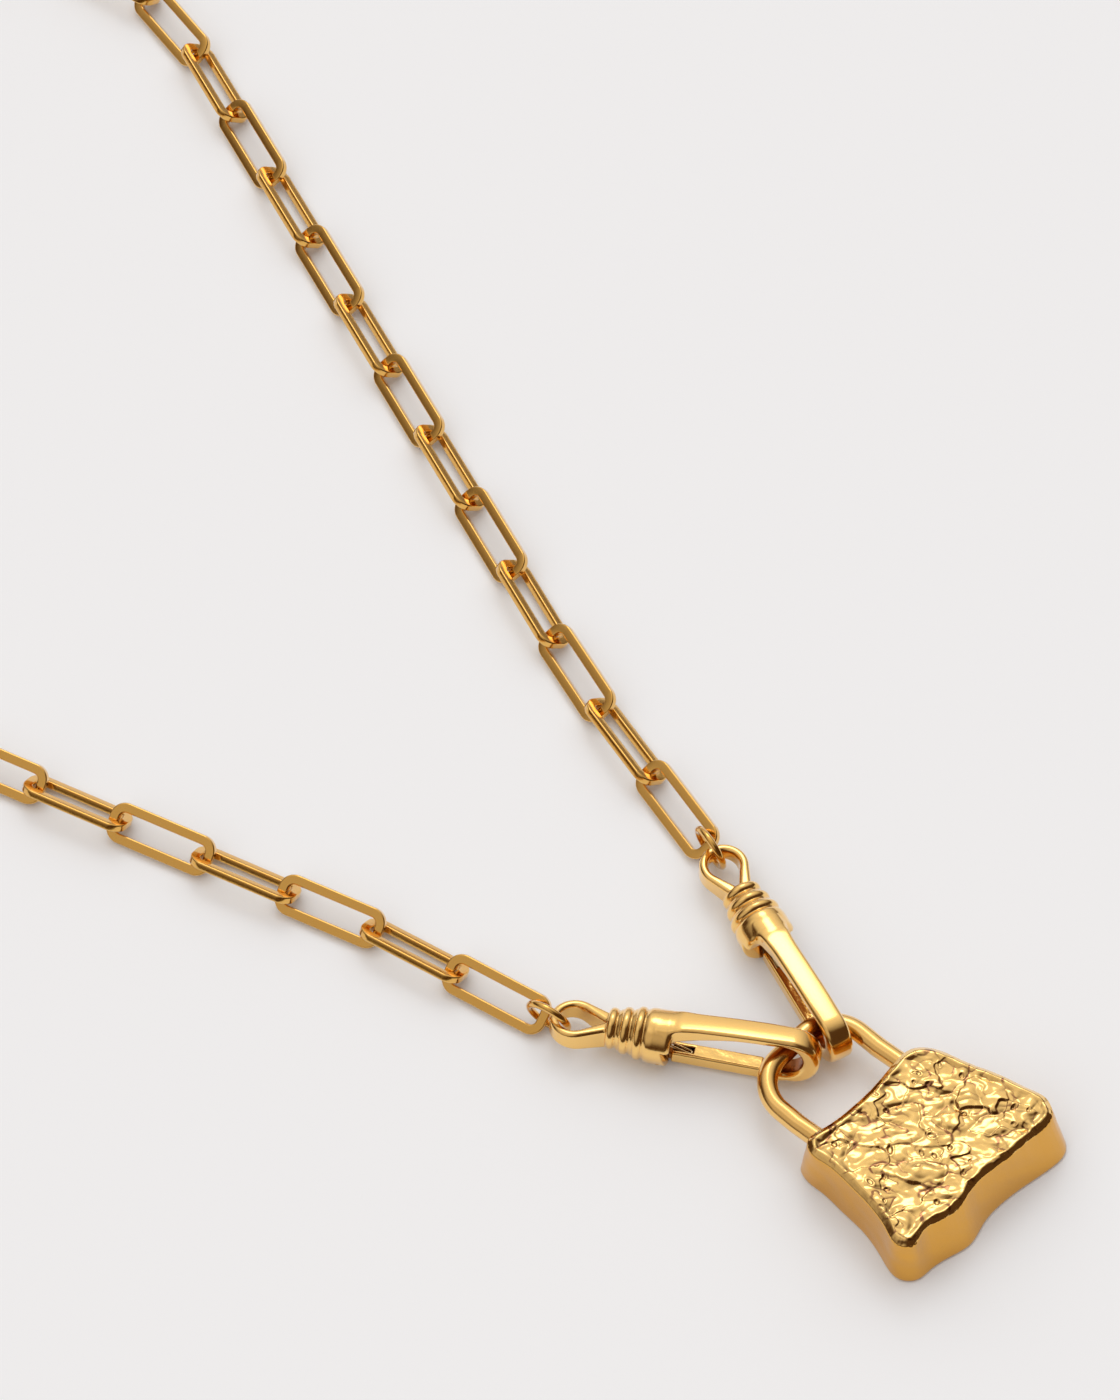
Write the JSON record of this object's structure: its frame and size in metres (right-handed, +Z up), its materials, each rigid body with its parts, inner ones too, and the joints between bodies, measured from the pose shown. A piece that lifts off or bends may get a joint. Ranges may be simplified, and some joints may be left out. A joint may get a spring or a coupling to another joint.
{
  "type": "padlock pendant necklace",
  "caption": "Crumpled cast padlock pendant on a paperclip link chain that closes on its shackle with two sprung dog-clip clasps.",
  "frame": {"origin": "middle of the padlock's flat back, on the surface that the necklace lies on", "axes": "+Y from the padlock through its shackle to the back of the neck loop, +X to the right seen from above, +Z up, out of the padlock's crumpled front"},
  "size_m": [0.0959, 0.1877, 0.0063],
  "materials": {
    "padlock_gold": "polished cast gold plate",
    "clip_gold": "polished gold plate",
    "chain_gold": "gold plate",
    "spring_steel": "bright wire"
  },
  "bodies": {
    "necklace": {"padlock": "padlock_gold", "clip_body_left": "clip_gold", "gate_pin_left": "clip_gold", "jump_ring_left": "chain_gold", "clip_body_right": "clip_gold", "gate_pin_right": "clip_gold", "jump_ring_right": "chain_gold", "link_01": "chain_gold", "link_02": "chain_gold", "link_03": "chain_gold", "link_04": "chain_gold", "link_05": "chain_gold", "link_06": "chain_gold", "link_07": "chain_gold", "link_08": "chain_gold", "link_09": "chain_gold", "link_10": "chain_gold", "link_11": "chain_gold", "link_12": "chain_gold", "link_13": "chain_gold", "link_14": "chain_gold", "link_15": "chain_gold", "link_16": "chain_gold", "link_17": "chain_gold", "link_18": "chain_gold", "link_19": "chain_gold", "link_20": "chain_gold", "link_21": "chain_gold", "link_22": "chain_gold", "link_23": "chain_gold", "link_24": "chain_gold", "link_25": "chain_gold", "link_26": "chain_gold", "link_27": "chain_gold", "link_28": "chain_gold", "link_29": "chain_gold", "link_30": "chain_gold", "link_31": "chain_gold", "link_32": "chain_gold", "link_33": "chain_gold", "link_34": "chain_gold", "link_35": "chain_gold", "link_36": "chain_gold", "link_37": "chain_gold", "link_38": "chain_gold", "link_39": "chain_gold", "link_40": "chain_gold"},
    "gate_left": {"clip_gate_left": "clip_gold", "gate_spring_left": "spring_steel"},
    "gate_right": {"clip_gate_right": "clip_gold", "gate_spring_right": "spring_steel"}
  },
  "joints": [
    {"name": "gate_left_hinge", "type": "hinge", "parent": "necklace", "child": "gate_left", "pos_m": [-0.00793, 0.025, 0.00117], "axis": [-0.8238, -0.5127, 0.2419], "range_deg": [0, 18], "stiffness_Nm_per_rad": 0.001, "springref_deg": -17.19},
    {"name": "gate_right_hinge", "type": "hinge", "parent": "necklace", "child": "gate_right", "pos_m": [0.00686, 0.02555, 0.00112], "axis": [-0.9444, 0.327, 0.0349], "range_deg": [0, 18], "stiffness_Nm_per_rad": 0.001, "springref_deg": -17.19}
  ]
}
